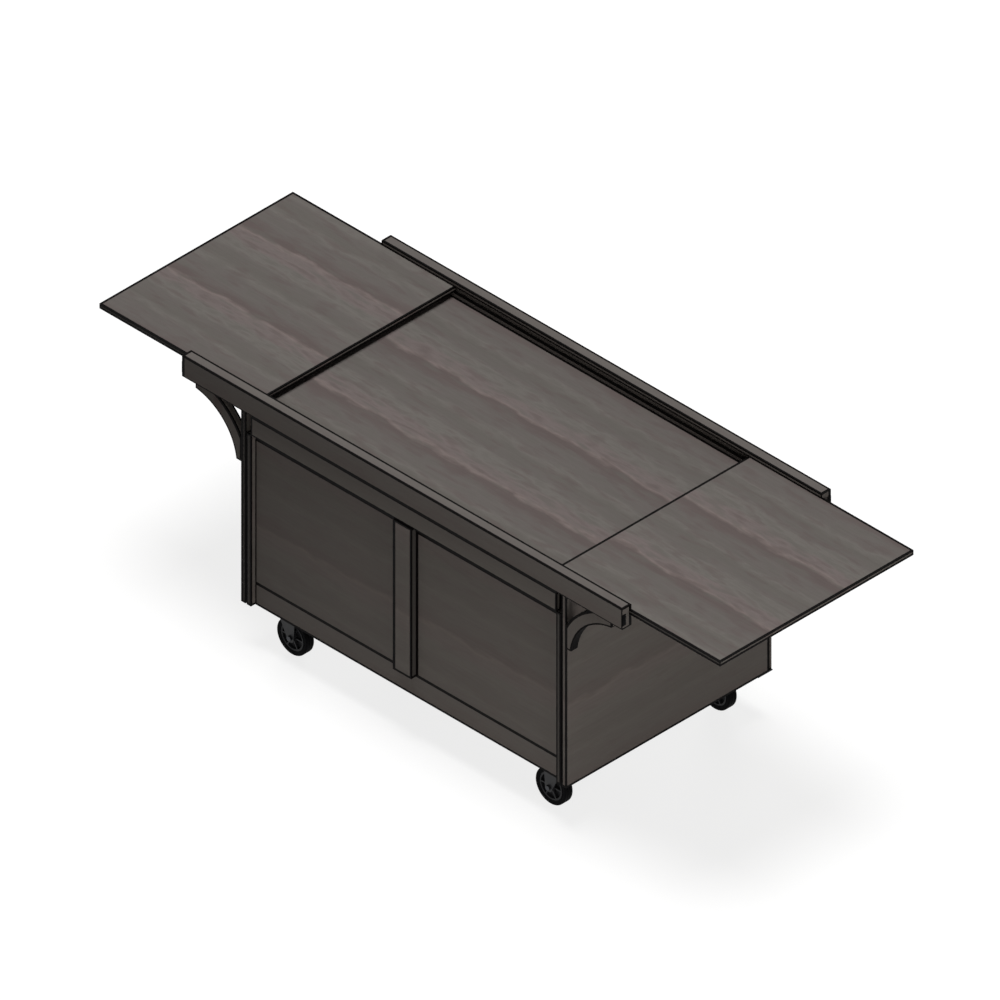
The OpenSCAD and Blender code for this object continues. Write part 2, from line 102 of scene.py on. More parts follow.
# Heights of painted shade under the front rail, on the apron, and under the apron, on the panels
RAIL_SHADE = 9 * MM
APRON_SHADE = 21 * MM

# Room in a groove below and above a leaf, and the depth of a gable's notch for the apron's ends
BELOW_LEAF, ABOVE_LEAF = 0.3 * MM, 0.5 * MM
NOTCH_DEPTH = 37 * MM

# Thickness of a board's edge that takes the raw edge colour, which also paints shade in places
EDGE_DEPTH = 0.5 * MM

# Height and radius of the finger hole between the doors, and radius of the recess round a knob
HOLE_HEIGHT, HOLE_RADIUS = 640 * MM, 25 * MM
RECESS_RADIUS = 29 * MM

# A bracket's arcs: the distance of their centre from the end panel and from the rail, and their radii
ARCH_CENTRE = 216 * MM
ARCH_INNER, ARCH_OUTER = 198 * MM, 242 * MM

# Half the width of the soft edge of a core line
LINE_BLUR = 0.3 * MM

# Specular level of the boards, which are dull, and depth of the pressed pores
DULL = 0.045
PORE_DEPTH = 0.15 * MM


def srgb(code):
    """Turns an sRGB hex code into linear red, green, blue and alpha."""
    channels = [int(code[i : i + 2], 16) / 255 for i in (1, 3, 5)]
    return [c / 12.92 if c <= 0.04045 else ((c + 0.055) / 1.055) ** 2.4 for c in channels] + [1.0]


def add(tree, kind, inputs=None, stops=None, **settings):
    """Adds a node.

    inputs gives each socket a value or the socket that feeds it, and stops fills a colour ramp.
    """
    made = tree.nodes.new(kind)
    for name, value in settings.items():
        setattr(made, name, value)
    for name, value in (inputs or {}).items():
        if isinstance(value, bpy.types.NodeSocket):
            tree.links.new(value, made.inputs[name])
        else:
            made.inputs[name].default_value = value
    for i, (place, colour) in enumerate(stops or ()):
        ramp = made.color_ramp.elements
        stop = ramp[i] if i < 2 else ramp.new(place)
        stop.position = place
        stop.color = colour
    return made


def new_material(name):
    """Makes a material with an empty node tree, and returns both."""
    material = bpy.data.materials.new(name)
    material.use_nodes = True
    material.node_tree.nodes.clear()
    return material, material.node_tree


def grain_noises(tree, place, grain, shift, parts):
    """Noises drawn out along the grain.

    parts has the name of each, its length and width in millimetres, and its detail.
    """
    made = {}
    for part, along, wide, detail in parts:
        scale = [1 / ((along if axis == grain else wide) * MM) for axis in (X, Y, Z)]
        stretch = add(tree, "ShaderNodeMapping", {"Vector": place, "Location": shift, "Scale": scale})
        noise = add(tree, "ShaderNodeTexNoise", {"Vector": stretch.outputs[0], "Scale": 1.0, "Detail": detail})
        made[part] = noise.outputs[0]
    return made


def colour_setting(name, description, code):
    """A colour, with its default as an sRGB hex code."""
    return FloatVectorProperty(
        name=name, description=description, subtype="COLOR", size=4, min=0, max=1, default=srgb(code)
    )


def length_setting(name, description, least, most, default):
    """A length, with its limits and default in millimetres."""
    return FloatProperty(
        name=name,
        description=description,
        subtype="DISTANCE",
        unit="LENGTH",
        min=least * MM,
        max=most * MM,
        default=default * MM,
    )


def power_setting(name, description, watts):
    """The power of a lamp, up to 500 watts."""
    return FloatProperty(
        name=name, description=description, subtype="POWER", unit="POWER", min=0, max=500, default=watts
    )


class CartLaminate(PropertyGroup):
    vein: colour_setting("Vein", "Rosy light line at the start of each printed band", "#7a6f6c")
    blush: colour_setting("Blush", "Light rosy part of each band, beside the vein", "#706765")
    pale: colour_setting("Pale grey", "Pale grey part of each band", "#6c6864")
    taupe: colour_setting("Taupe", "Middle tone of the decor", "#65605d")
    moss: colour_setting("Green grey", "Cool dark part of each band", "#625e5a")
    rose: colour_setting("Dark rose", "Warm dark part of each band, up against the next vein", "#5f5654")
    # The raw edge colour also paints a gable's front edge darker, and paints shade in a gable's notch and on
    # the right side of the stile
    sawn_and_shade: colour_setting("Sawn edge", "Raw edge of a board that a saw has left without laminate", "#454240")
    # The core colour also paints shade: bands under the front rail and the apron, and the hollow under each
    # arch
    core: colour_setting("Core", "Dark core of the laminate, bare at every arris", "#060505")
    period: length_setting("Band repeat", "Distance between two veins", 50, 1000, 303)
    core_line: length_setting(
        "Core line", "Width of the dark line on each face beside an upright arris", 0.5, 10, 5.4
    )
    brow_line: length_setting("Brow line", "Width of the dark line below an upper arris", 0.5, 10, 5.4)
    rim_line: length_setting("Rim line", "Width of the dark line round an upper face", 0.5, 10, 8.4)
    near_line: length_setting(
        "Near line", "Width of the dark line on an upper face along its front and right edges", 0.5, 10, 6
    )
    foot_line: length_setting("Foot line", "Width of the dark line above a lower arris", 0.5, 10, 8)


class CartHardware(PropertyGroup):
    paint: colour_setting("Caster paint", "Powder coat of the caster plates, forks and pedals", "#161618")
    zinc: colour_setting("Zinc", "Black passivated zinc of the screws, axles and pivots", "#3c3d40")
    bronze: colour_setting("Bronze", "Sintered bronze of the door bushes", "#a98a52")
    rubber: colour_setting("Rubber", "Thermoplastic rubber of the tyres, bumpers and pedal treads", "#050506")
    nylon: colour_setting("Nylon", "Glass filled nylon of the wheel centres", "#1c1c1e")
    housing: colour_setting(
        "Housing", "Moulded plastic of the induction units, control boxes and cable gland", "#242527"
    )
    knob: colour_setting("Knob", "Satin plastic of the control knobs", "#1a1a1c")
    ink: colour_setting("Ink", "Pale ink of the dial marks and knob pointers", "#d8d4cc")


class CartFittings(PropertyGroup):
    tread_groove: length_setting("Tread groove", "Depth of the grooves round a tyre", 0.5, 3, 1.4)
    shoulder: length_setting("Tyre shoulder", "Radius between a tyre's side and its tread", 1, 7, 3)
    tread_ribs: IntProperty(
        name="Pedal ribs", description="Number of ribs on a pedal tread", min=2, max=7, default=5
    )
    bumper: length_setting("Bumper thickness", "Thickness of the bumpers on the rail ends", 1, 6, 2.5)
    dial_marks: IntProperty(
        name="Dial marks", description="Number of marks round a control", min=5, max=21, default=10
    )
    recess_depth: length_setting("Recess depth", "Depth of the round recess behind a control", 2, 20, 13)


class CartStage(PropertyGroup):
    view_width: length_setting("View width", "Width that the camera takes in", 1000, 10000, 2941.7)
    ambient: FloatProperty(
        name="Ambient", description="Strength of the even light from all round", min=0, max=2, default=0.02
    )
    key: FloatProperty(
        name="Key", description="Strength of the soft light from above", min=0, max=10, default=2.88
    )
    end_fill: power_setting("End fill", "Power of the softbox beside the right end", 146)
    front_fill: power_setting("Front fill", "Power of the softbox in front", 25)
    low_fill: power_setting("Low fill", "Power of the strip light along the floor in front", 3.4)
    back_fill: power_setting("Back fill", "Power of the softbox behind the left corner", 170)


def edge_distance(tree, look, place, low, high):
    """Distance from a point on a box's surface to the nearest edge of the box.

    It is scaled where the core line is drawn wider or narrower: on the upper face, and beside the upper
    and the lower edges.
    """
    middle = add(tree, "ShaderNodeVectorMath", {0: place, 1: (low + high) / 2}, operation="SUBTRACT")
    reach = add(tree, "ShaderNodeVectorMath", {0: middle.outputs[0]}, operation="ABSOLUTE")
    inner = add(tree, "ShaderNodeVectorMath", {0: (high - low) / 2, 1: reach.outputs[0]}, operation="SUBTRACT")
    parts = add(tree, "ShaderNodeSeparateXYZ", {0: inner.outputs[0]})
    height = add(tree, "ShaderNodeSeparateXYZ", {0: middle.outputs[0]}).outputs[Z]
    below = add(tree, "ShaderNodeMath", {0: height, 1: 0.0}, operation="LESS_THAN")
    foot = add(
        tree,
        "ShaderNodeMapRange",
        {
            "Value": below.outputs[0],
            "To Min": look.core_line / look.brow_line,
            "To Max": look.core_line / look.foot_line,
        },
    )
    upright = add(tree, "ShaderNodeMath", {0: parts.outputs[Z], 1: foot.outputs[0]}, operation="MULTIPLY")
    least, most, total = parts.outputs[X], parts.outputs[X], parts.outputs[X]
    for side in (parts.outputs[Y], upright.outputs[0]):
        least = add(tree, "ShaderNodeMath", {0: least, 1: side}, operation="MINIMUM").outputs[0]
        most = add(tree, "ShaderNodeMath", {0: most, 1: side}, operation="MAXIMUM").outputs[0]
        total = add(tree, "ShaderNodeMath", {0: total, 1: side}, operation="ADD").outputs[0]
    rest = add(tree, "ShaderNodeMath", {0: total, 1: least}, operation="SUBTRACT")
    nearest = add(tree, "ShaderNodeMath", {0: rest.outputs[0], 1: most}, operation="SUBTRACT")
    on_top = add(
        tree, "ShaderNodeMath", {0: height, 1: (high.z - low.z) / 2 - 0.1 * MM}, operation="GREATER_THAN"
    )
    rim = add(
        tree,
        "ShaderNodeMapRange",
        {"Value": on_top.outputs[0], "To Min": 1.0, "To Max": look.core_line / look.rim_line},
    )
    distance = add(tree, "ShaderNodeMath", {0: nearest.outputs[0], 1: rim.outputs[0]}, operation="MULTIPLY")
    return distance.outputs[0]


def line_distance(tree, place, axis, point, radius=0.0):
    """Distance from a point to a straight line along an axis, or to a round edge about that line."""
    flat = [0.0 if i == axis else 1.0 for i in (X, Y, Z)]
    centre = [0.0 if i == axis else point[i] for i in (X, Y, Z)]
    on_plane = add(tree, "ShaderNodeVectorMath", {0: place, 1: flat}, operation="MULTIPLY")
    away = add(tree, "ShaderNodeVectorMath", {0: on_plane.outputs[0], 1: centre}, operation="DISTANCE")
    past = add(tree, "ShaderNodeMath", {0: away.outputs["Value"], 1: radius}, operation="SUBTRACT")
    return add(tree, "ShaderNodeMath", {0: past.outputs[0]}, operation="ABSOLUTE").outputs[0]


def laminate(name, look, grain, across, low, high, face, vein, turn, strength, seed, lines=(), sawn_and_shade=()):
    """High pressure laminate, pressed with a dull open grain.

    A printed wood decor in grey taupe, with a rosy vein at each repeat that fades through pale grey and
    green grey to dark rose. strength is how far the bands stand out. The real core line at an arris is
    1 mm wide. It is drawn wider, to show. lines gives other arrises. The parts of the board painted in
    the raw edge colour, at raw edges and as shade, come last, each as limits that a point there keeps to.
    """
    material, tree = new_material(name)
    place = add(tree, "ShaderNodeTexCoord").outputs["Object"]
    axes = add(tree, "ShaderNodeSeparateXYZ", {0: place})
    depth = 3 - grain - across
    outer = high[depth] if face > 0 else low[depth]
    from_face = add(tree, "ShaderNodeMath", {0: axes.outputs[depth], 1: outer}, operation="SUBTRACT")
    crossing = add(
        tree, "ShaderNodeMath", {0: axes.outputs[across], 1: from_face.outputs[0]}, operation="ADD"
    )

    # Slow sway and quick ripple of the bands, clouds of colour, fine streaks and the pressed pores
    noises = grain_noises(
        tree,
        place,
        grain,
        (seed * 3.7, seed * 1.9, seed * 2.3),
        (
            ("sway", 900, 150, 1.0),
            ("ripple", 115, 50, 3.0),
            ("cloud", 95, 24, 4.0),
            ("streak", 120, 8, 2.0),
            ("pore", 30, 2.5, 1.0),
        ),
    )

    sway, ripple = 30 * MM, 60 * MM
    swayed = crossing.outputs[0]
    for part, reach in (("sway", sway), ("ripple", ripple)):
        swayed = add(
            tree, "ShaderNodeMath", {0: noises[part], 1: reach, 2: swayed}, operation="MULTIPLY_ADD"
        ).outputs[0]
    start = vein * MM + (sway + ripple) / 2
    repeats = add(
        tree,
        "ShaderNodeMath",
        {0: swayed, 1: turn / look.period, 2: -turn * start / look.period},
        operation="MULTIPLY_ADD",
    )
    share = add(tree, "ShaderNodeMath", {0: repeats.outputs[0]}, operation="FRACT")
    bands = add(
        tree,
        "ShaderNodeValToRGB",
        {0: share.outputs[0]},
        stops=(
            (0.0, look.vein),
            (1.0, look.vein),
            (0.035, look.blush),
            (0.14, look.blush),
            (0.2, look.pale),
            (0.31, look.pale),
            (0.36, look.taupe),
            (0.5, look.moss),
            (0.59, look.pale),
            (0.65, look.taupe),
            (0.8, look.taupe),
            (0.895, look.rose),
            (0.955, look.rose),
        ),
    )
    faded = add(
        tree, "ShaderNodeMix", {"Factor": 1 - strength, 6: bands.outputs[0], 7: look.taupe}, data_type="RGBA"
    )
    warm = add(
        tree,
        "ShaderNodeMapRange",
        {"Value": noises["cloud"], "From Min": 0.5, "From Max": 0.66, "To Min": 0.0, "To Max": 0.6 * strength},
    )
    cool = add(
        tree,
        "ShaderNodeMapRange",
        {"Value": noises["cloud"], "From Min": 0.5, "From Max": 0.34, "To Min": 0.0, "To Max": 0.65 * strength},
    )
    warmed = add(
        tree,
        "ShaderNodeMix",
        {"Factor": warm.outputs[0], 6: faded.outputs[2], 7: look.rose},
        data_type="RGBA",
    )
    cooled = add(
        tree,
        "ShaderNodeMix",
        {"Factor": cool.outputs[0], 6: warmed.outputs[2], 7: look.moss},
        data_type="RGBA",
    )
    shade = add(
        tree,
        "ShaderNodeMapRange",
        {"Value": noises["streak"], "From Min": 0.3, "From Max": 0.7, "To Min": 0.955, "To Max": 1.045},
    )
    decor = add(
        tree,
        "ShaderNodeMix",
        {"Factor": 1.0, 6: cooled.outputs[2], 7: shade.outputs[0]},
        data_type="RGBA",
        blend_type="MULTIPLY",
    )

    # Raw edges of the leaves, a gable's front edge painted darker, and painted shade in a gable's notch and on
    # the stile's right side
    surface = decor.outputs[2]
    for limits in sawn_and_shade:
        inside = 1.0
        for axis, limit, side in limits:
            past = add(
                tree,
                "ShaderNodeMath",
                {0: axes.outputs[axis], 1: limit},
                operation="GREATER_THAN" if side > 0 else "LESS_THAN",
            )
            both = add(tree, "ShaderNodeMath", {0: past.outputs[0], 1: inside}, operation="MULTIPLY")
            inside = both.outputs[0]
        surface = add(
            tree, "ShaderNodeMix", {"Factor": inside, 6: surface, 7: look.sawn_and_shade}, data_type="RGBA"
        ).outputs[2]

    # Bare core at the arrises, and bands of painted shade under the front rail and the apron
    edge = edge_distance(tree, look, place, low, high)
    for axis, point, radius in lines:
        line = line_distance(tree, place, axis, point, radius)
        edge = add(tree, "ShaderNodeMath", {0: edge, 1: line}, operation="MINIMUM").outputs[0]
    bare_and_shade = add(
        tree,
        "ShaderNodeMapRange",
        {"Value": edge, "From Min": look.core_line + LINE_BLUR, "From Max": look.core_line - LINE_BLUR},
    )
    colour = add(
        tree, "ShaderNodeMix", {"Factor": bare_and_shade.outputs[0], 6: surface, 7: look.core}, data_type="RGBA"
    )
    dull = add(
        tree,
        "ShaderNodeMapRange",
        {"Value": noises["streak"], "From Min": 0.3, "From Max": 0.7, "To Min": 0.56, "To Max": 0.68},
    )
    pressed = add(tree, "ShaderNodeBump", {"Height": noises["pore"], "Strength": 0.25, "Distance": PORE_DEPTH})
    shader = add(
        tree,
        "ShaderNodeBsdfPrincipled",
        {
            "Base Color": colour.outputs[2],
            "Roughness": dull.outputs[0],
            "Normal": pressed.outputs[0],
            "Specular IOR Level": DULL,
        },
    )
    add(tree, "ShaderNodeOutputMaterial", {"Surface": shader.outputs[0]})
    return material


def arch_laminate(name, look, low, high, side, seed):
    """Laminate on a bracket cut out with a saw: the same decor, with the core line round both arcs.

    The hollow face under the arch is painted all over in the dark core colour, as painted shade.
    """
    material, tree = new_material(name)
    place = add(tree, "ShaderNodeTexCoord").outputs["Object"]
    noises = grain_noises(
        tree,
        place,
        Z,
        (seed, seed * 1.9, 0),
        (("patch", 200, 34, 3.0), ("streak", 110, 7, 2.0), ("pore", 30, 2.5, 1.0)),
    )
    bands = add(
        tree,
        "ShaderNodeValToRGB",
        {0: noises["patch"]},
        stops=((0.3, look.moss), (0.7, look.rose), (0.45, look.taupe), (0.55, look.taupe)),
    )
    shade = add(
        tree,
        "ShaderNodeMapRange",
        {"Value": noises["streak"], "From Min": 0.3, "From Max": 0.7, "To Min": 0.95, "To Max": 1.05},
    )
    decor = add(
        tree,
        "ShaderNodeMix",
        {"Factor": 1.0, 6: bands.outputs[0], 7: shade.outputs[0]},
        data_type="RGBA",
        blend_type="MULTIPLY",
    )

    # The arcs are centred below the rail, outside the end panel
    against = low.x if side > 0 else high.x
    centre = (against + side * ARCH_CENTRE, 0, high.z - ARCH_CENTRE)
    axes = add(tree, "ShaderNodeSeparateXYZ", {0: place})
    under = line_distance(tree, place, Y, centre, ARCH_INNER)
    outer_arc = line_distance(tree, place, Y, centre, ARCH_OUTER)
    wide_arc = add(
        tree, "ShaderNodeMath", {0: outer_arc, 1: look.core_line / look.foot_line}, operation="MULTIPLY"
    )
    outline = add(tree, "ShaderNodeMath", {0: under, 1: wide_arc.outputs[0]}, operation="MINIMUM").outputs[0]
    for axis, wall in ((X, low.x), (X, high.x), (Z, low.z), (Z, high.z)):
        off = add(tree, "ShaderNodeMath", {0: axes.outputs[axis], 1: wall}, operation="SUBTRACT")
        off = add(tree, "ShaderNodeMath", {0: off.outputs[0]}, operation="ABSOLUTE")
        outline = add(tree, "ShaderNodeMath", {0: outline, 1: off.outputs[0]}, operation="MINIMUM").outputs[0]
    sideways = add(
        tree, "ShaderNodeMath", {0: axes.outputs[Y], 1: (low.y + high.y) / 2}, operation="SUBTRACT"
    )
    sideways = add(tree, "ShaderNodeMath", {0: sideways.outputs[0]}, operation="ABSOLUTE")
    inside = add(
        tree, "ShaderNodeMath", {0: (high.y - low.y) / 2, 1: sideways.outputs[0]}, operation="SUBTRACT"
    )
    edge = add(tree, "ShaderNodeMath", {0: outline, 1: inside.outputs[0]}, operation="MAXIMUM").outputs[0]
    # The hollow face lies on the inner arc, so all of it takes the core colour as painted shade
    hollow = add(tree, "ShaderNodeMath", {0: under, 1: 2.0}, operation="MULTIPLY")
    edge = add(tree, "ShaderNodeMath", {0: edge, 1: hollow.outputs[0]}, operation="MINIMUM").outputs[0]
    bare_and_shade = add(
        tree,
        "ShaderNodeMapRange",
        {"Value": edge, "From Min": look.core_line + LINE_BLUR, "From Max": look.core_line - LINE_BLUR},
    )
    colour = add(
        tree, "ShaderNodeMix", {"Factor": bare_and_shade.outputs[0], 6: decor.outputs[2], 7: look.core}, data_type="RGBA"
    )
    pressed = add(tree, "ShaderNodeBump", {"Height": noises["pore"], "Strength": 0.25, "Distance": PORE_DEPTH})
    shader = add(
        tree,
        "ShaderNodeBsdfPrincipled",
        {
            "Base Color": colour.outputs[2],
            "Roughness": 0.75,
            "Normal": pressed.outputs[0],
            "Specular IOR Level": DULL,
        },
    )
    add(tree, "ShaderNodeOutputMaterial", {"Surface": shader.outputs[0]})
    return material


def grained(name, colour, grit, spread, roughness, bump, metallic=0.0, specular=0.5):
    """A moulded, coated or plated finish: one colour that varies a little over a fine skin.

    grit is the size of the skin's grain and bump its depth, in millimetres. spread is how far the
    colour varies, and roughness the least and most.
    """
    material, tree = new_material(name)
    place = add(tree, "ShaderNodeTexCoord").outputs["Object"]
    skin = add(tree, "ShaderNodeTexNoise", {"Vector": place, "Scale": 1 / (grit * MM), "Detail": 2.0})
    # Clouds about 28 mm across, coarser than the real finish, to show at the size of the cart
    cloud = add(tree, "ShaderNodeTexNoise", {"Vector": place, "Scale": 1 / (28 * MM), "Detail": 3.0})
    both = add(
        tree, "ShaderNodeMath", {0: skin.outputs[0], 1: 0.4, 2: cloud.outputs[0]}, operation="MULTIPLY_ADD"
    )
    mottle = {"Value": both.outputs[0], "From Min": 0.45, "From Max": 0.95}
    shade = add(tree, "ShaderNodeMapRange", {**mottle, "To Min": 1 - spread, "To Max": 1 + spread})
    tone = add(
        tree,
        "ShaderNodeMix",
        {"Factor": 1.0, 6: colour, 7: shade.outputs[0]},
        data_type="RGBA",
        blend_type="MULTIPLY",
    )
    dull = add(tree, "ShaderNodeMapRange", {**mottle, "To Min": roughness[0], "To Max": roughness[1]})
    relief = add(tree, "ShaderNodeBump", {"Height": skin.outputs[0], "Strength": 0.4, "Distance": bump * MM})
    shader = add(
        tree,
        "ShaderNodeBsdfPrincipled",
        {
            "Base Color": tone.outputs[2],
            "Metallic": metallic,
            "Roughness": dull.outputs[0],
            "Normal": relief.outputs[0],
            "Specular IOR Level": specular,
        },
    )
    add(tree, "ShaderNodeOutputMaterial", {"Surface": shader.outputs[0]})
    return material


def shared(name, *settings, **more):
    """The grained finish of that name, made on first use."""
    return bpy.data.materials.get(name) or grained(name, *settings, **more)


def powder_coat(look):
    """Powder coated steel: baked on in one black coat, with a slight orange peel about 3 mm across."""
    return shared("powder_coated_steel", look.paint, 3.0, 0.12, (0.38, 0.5), 0.08, specular=0.25)


def zinc_plate(look):
    """Zinc plated steel, passivated dark: a cloudy metal with fine drawing marks."""
    return shared("zinc_plated_steel", look.zinc, 1.2, 0.15, (0.3, 0.45), 0.02, metallic=1.0)


def sintered_bronze(look):
    """Sintered bronze: pressed powder, oily and a little porous."""
    return shared("sintered_bronze", look.bronze, 0.9, 0.12, (0.35, 0.5), 0.03, metallic=1.0)


def tread_rubber(look):
    """Thermoplastic rubber: moulded, matt, and greyed in places by floor dust."""
    return shared("thermoplastic_rubber", look.rubber, 1.5, 0.25, (0.7, 0.85), 0.05, specular=0.05)


def filled_nylon(look):
    """Glass filled nylon: moulded, with a dry surface from the fibres."""
    return shared("glass_filled_nylon", look.nylon, 1.4, 0.18, (0.45, 0.6), 0.03, specular=0.2)


def textured_abs(look):
    """ABS moulded in a spark eroded tool: an even grit of about 1 mm."""
    return shared("spark_textured_abs", look.housing, 1.0, 0.1, (0.5, 0.62), 0.05)


def satin_abs(look):
    """Satin ABS of the knobs: finer and smoother than the housings."""
    return shared("satin_abs", look.knob, 0.8, 0.06, (0.3, 0.4), 0.01)


def pad_ink(look):
    """Pad printing ink: thin, pale and slightly uneven."""
    return shared("pad_printing_ink", look.ink, 0.8, 0.05, (0.5, 0.6), 0.01)


def give(names, material):
    """Gives CAD nodes a material in place of their own."""
    for name in names:
        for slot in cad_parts[name].material_slots:
            slot.material = material


def make_piece(bm, name, body, material, sharp=35):
    """Turns a bmesh into a piece, parented to an empty named after the body it goes with."""
    bmesh.ops.recalc_face_normals(bm, faces=bm.faces)
    mesh = bpy.data.meshes.new(name)
    bm.to_mesh(mesh)
    bm.free()
    mesh.shade_smooth()
    mesh.set_sharp_from_angle(angle=math.radians(sharp))
    mesh.materials.append(material)
    piece = bpy.data.objects.new(name, mesh)
    bpy.context.scene.collection.objects.link(piece)
    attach(piece, body)
    return piece


def add_box(bm, low, high):
    """Adds a box between two corners to a bmesh, and returns its faces."""
    size = Matrix.Diagonal(high - low).to_4x4()
    made = bmesh.ops.create_cube(bm, size=1.0, matrix=Matrix.Translation((low + high) / 2) @ size)
    return list({face for vert in made["verts"] for face in vert.link_faces})


def add_screw_head(bm, place, radius, height, down):
    """Adds a pan head with a round driver socket, facing along down."""
    turn = Vector((0, 0, 1)).rotation_difference(down).to_matrix().to_4x4()
    at = Matrix.Translation(place + down * height / 2) @ turn
    made = bmesh.ops.create_cone(
        bm, cap_ends=True, segments=24, radius1=radius, radius2=radius * 0.78, depth=height, matrix=at
    )
    faces = {face for vert in made["verts"] for face in vert.link_faces}
    top = max(faces, key=lambda face: face.calc_center_median().dot(down))
    bmesh.ops.inset_region(bm, faces=[top], thickness=radius * 0.42, use_even_offset=True)
    sunk = bmesh.ops.extrude_discrete_faces(bm, faces=[top])["faces"][0]
    bmesh.ops.translate(bm, verts=sunk.verts, vec=-down * height * 0.6)


def spin_profile(bm, points, centre, axis, steps):
    """Turns a closed outline, given as (radius, place along the axis), into a ring about the axis."""
    side = Vector((1, 0, 0)) if axis.x == 0 else Vector((0, 1, 0))
    verts = [bm.verts.new(centre + side * radius + axis * along) for radius, along in points]
    edges = [bm.edges.new((a, b)) for a, b in zip(verts, verts[1:] + verts[:1])]
    bmesh.ops.spin(
        bm,
        geom=verts + edges,
        cent=centre,
        axis=axis,
        angle=math.tau,
        steps=steps,
        use_merge=True,
        use_duplicate=False,
    )


class CART_OT_boards(Operator):
    """Gives every laminated board its decor, with the veins where the cart has them"""

    bl_idname = "cart.boards"
    bl_label = "Finish Boards"

    def execute(self, context):
        look = context.scene.cart_laminate
        lines = self.inner_lines(look)
        sawn_and_shade = self.sawn_and_shaded_parts()
        for seed, (name, (grain, across, face, vein, turn)) in enumerate(BOARDS.items()):
            low, high = self.line_box(look, name)
            material = laminate(
                f"laminate_{name}",
                look,
                grain,
                across,
                low,
                high,
                face,
                vein,
                turn,
                0.4 if across == Z else 1.0,
                seed,
                lines.get(name, ()),
                sawn_and_shade.get(name, ()),
            )
            give([name], material)
        return {"FINISHED"}

    def inner_lines(self, look):
        # Arrises of grooves, notches, holes and recesses, and corners where a line is twice as wide.
        # A radius of one core line about an upright arris doubles it.
        wide = look.core_line
        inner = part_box("deck")[1].y
        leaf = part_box("left_leaf")
        groove = [leaf[0].z - BELOW_LEAF, leaf[1].z + ABOVE_LEAF]
        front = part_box("front_apron")[0]
        end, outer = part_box("back_rail")[1].xy
        knobs = [sum(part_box(f"{side}_knob"), Vector()) / 2 for side in SIDES]
        near_corners = ((-end, -outer), (-end, -inner), (end, -inner))
        lines = {
            "front_rail": [(X, (0, -inner, z), 0) for z in groove],
            "back_rail": [(X, (0, inner, z), 0) for z in groove],
            "left_end_panel": [(Z, (*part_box("left_end_panel")[0].xy, 0), wide)],
            "centre_stile": [(Z, (*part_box("centre_stile")[0].xy, 0), wide)],
            "back_apron": [(Y, (knob.x, 0, knob.z), RECESS_RADIUS) for knob in knobs],
        }
        lines["front_rail"] += [(Z, (x, y, 0), wide) for x, y in near_corners]
        lines["back_rail"] += [(Z, (x, outer, 0), wide) for x in (-end, end)]
        for side in SIDES:
            lines[f"{side}_gable"] = [(X, (0, front.y, front.z), 0)]
            lines[f"{side}_door"] = [(Y, (0, 0, HOLE_HEIGHT), HOLE_RADIUS)]
        return lines

    def sawn_and_shaded_parts(self):
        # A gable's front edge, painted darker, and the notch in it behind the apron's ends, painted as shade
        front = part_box("front_apron")[0]
        edge = ((Y, front.y + EDGE_DEPTH, -1),)
        notch = ((Z, front.z - EDGE_DEPTH, 1), (Y, front.y + NOTCH_DEPTH, -1))
        # The long edges of a leaf, which run in the grooves
        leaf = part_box("left_leaf")[1].y
        running = (((Y, EDGE_DEPTH - leaf, -1),), ((Y, leaf - EDGE_DEPTH, 1),))
        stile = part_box("centre_stile")[1].x
        return {
            "left_gable": (edge, notch),
            "right_gable": (edge, notch),
            "left_leaf": running,
            "right_leaf": running,
            # The right side of the stile, painted darker as shade beside the panel
            "centre_stile": (((X, stile - EDGE_DEPTH, 1),),),
        }

    def line_box(self, look, name):
        # The box whose edges carry the core lines. It is the board's own, shifted where a line is shared or
        # shade is painted.
        low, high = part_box(name)
        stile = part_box("centre_stile")
        if name == "left_front_panel":
            high.x = stile[0].x
        if name == "right_front_panel":
            low.x = stile[1].x
        # Under the apron, the top line on a front panel widens into a band of painted shade
        if name in ("left_front_panel", "right_front_panel"):
            high.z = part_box("front_apron")[0].z - APRON_SHADE
        # Under the front rail, the top line on the apron widens into a band of painted shade
        if name == "front_apron":
            high.z -= RAIL_SHADE
        if name in ABUTTING:
            # The piece below carries half of the line between them
            low.z -= look.foot_line - look.brow_line
        if name in TOP_BOARDS:
            # The near faces carry half of the lines along the near edges of the top
            low.y -= look.rim_line - look.near_line
            high.x += look.rim_line - look.near_line
        return low, high


class CART_OT_blocks(Operator):
    """Gives the stop blocks and spacers the plain taupe of offcuts cut from the boards"""

    bl_idname = "cart.blocks"
    bl_label = "Finish Blocks"

    def execute(self, context):
        look = context.scene.cart_laminate
        give(BLOCKS, shared("board_offcuts", look.taupe, 2.0, 0.12, (0.6, 0.75), 0.05))
        return {"FINISHED"}


class CART_OT_brackets(Operator):
    """Gives the arched brackets their laminate and core lines"""

    bl_idname = "cart.brackets"
    bl_label = "Finish Brackets"

    def execute(self, context):
        look = context.scene.cart_laminate
        for seed, name in enumerate(BRACKETS):
            low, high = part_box(name)
            side = 1 if low.x > 0 else -1
            give([name], arch_laminate(f"laminate_{name}", look, low, high, side, 40 + seed))
        return {"FINISHED"}


